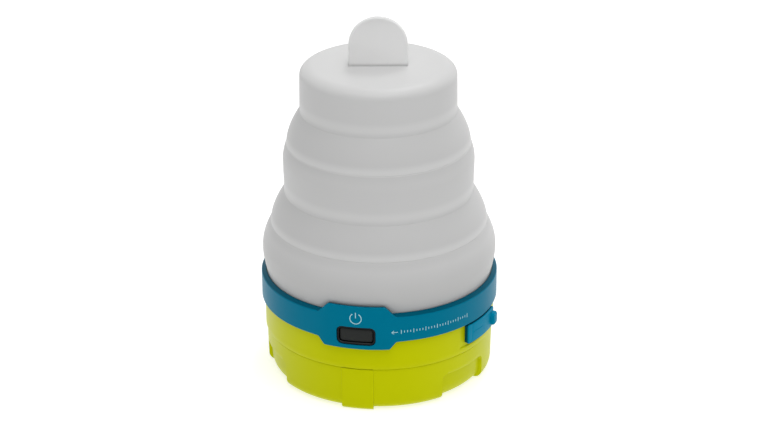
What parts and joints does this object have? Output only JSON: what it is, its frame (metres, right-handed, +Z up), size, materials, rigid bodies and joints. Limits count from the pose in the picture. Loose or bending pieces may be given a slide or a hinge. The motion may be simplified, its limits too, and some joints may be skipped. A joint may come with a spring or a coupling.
{
  "type": "collapsible camping lantern",
  "caption": "Drum-shaped camping lantern with a stepped frosted silicone globe that folds down, a hanging tab, a push button and a rubber-covered charging port.",
  "frame": {"origin": "centre of the plane on which the feet stand", "axes": "+Z up along the axis of the globe, -Y towards the button"},
  "size_m": [0.0869, 0.0855, 0.1328],
  "materials": {
    "lime_plastic": "fine satin moulding",
    "teal_plastic": "satin moulding",
    "teal_rubber": "satin rubber",
    "frosted_silicone": "frosted satin silicone",
    "black_plastic": "gloss",
    "button_rubber": "matt rubber",
    "seal_rubber": "matt",
    "screw_steel": "zinc plated",
    "board_laminate": "solder resist",
    "chip_black": "matt",
    "switch_grey": "matt",
    "port_steel": "nickel plated",
    "cell_wrap": "shrink sleeve",
    "white_plastic": "satin white",
    "led_core": "white resist on aluminium",
    "led_phosphor": "phosphor cover",
    "lead_insulation": "insulation"
  },
  "bodies": {
    "base": {"battery_cell": "cell_wrap", "battery_cradle": "white_plastic", "battery_leads": "lead_insulation", "battery_tabs": "port_steel", "board_chips": "chip_black", "board_screws": "screw_steel", "bottom_cover": "lime_plastic", "button_bezel": "black_plastic", "charging_port": "port_steel", "cover_screws": "screw_steel", "cover_seal": "seal_rubber", "deck_screws": "screw_steel", "flap_anchor": "teal_rubber", "globe_base_band": "frosted_silicone", "globe_lower_web": "frosted_silicone", "housing": "lime_plastic", "led_board": "led_core", "led_board_screws": "screw_steel", "led_deck": "white_plastic", "led_emitters": "led_phosphor", "led_leads": "lead_insulation", "main_board": "board_laminate", "port_insert": "chip_black", "tact_switch": "chip_black", "trim_ring": "teal_plastic"},
    "middle_tier": {"globe_middle_band": "frosted_silicone", "globe_upper_web": "frosted_silicone"},
    "top_tier": {"globe_top_cap": "frosted_silicone"},
    "button": {"power_button": "button_rubber", "switch_plunger": "switch_grey"},
    "flap": {"port_flap": "teal_rubber"}
  },
  "joints": [
    {"name": "lower_fold", "type": "slide", "parent": "base", "child": "middle_tier", "axis": [0, 0, 1], "range_m": [-0.0262, 0], "deforming": ["globe_lower_web"]},
    {"name": "upper_fold", "type": "slide", "parent": "middle_tier", "child": "top_tier", "axis": [0, 0, 1], "range_m": [-0.0275, 0], "deforming": ["globe_upper_web"]},
    {"name": "button_press", "type": "slide", "parent": "base", "child": "button", "axis": [0, 1, 0], "range_m": [0, 0.0008], "stiffness_N_per_m": 1500},
    {"name": "flap_hinge", "type": "hinge", "parent": "base", "child": "flap", "pos_m": [0.03752, -0.0208, 0.0242], "axis": [0, 0, -1], "range_deg": [0, 110]}
  ]
}
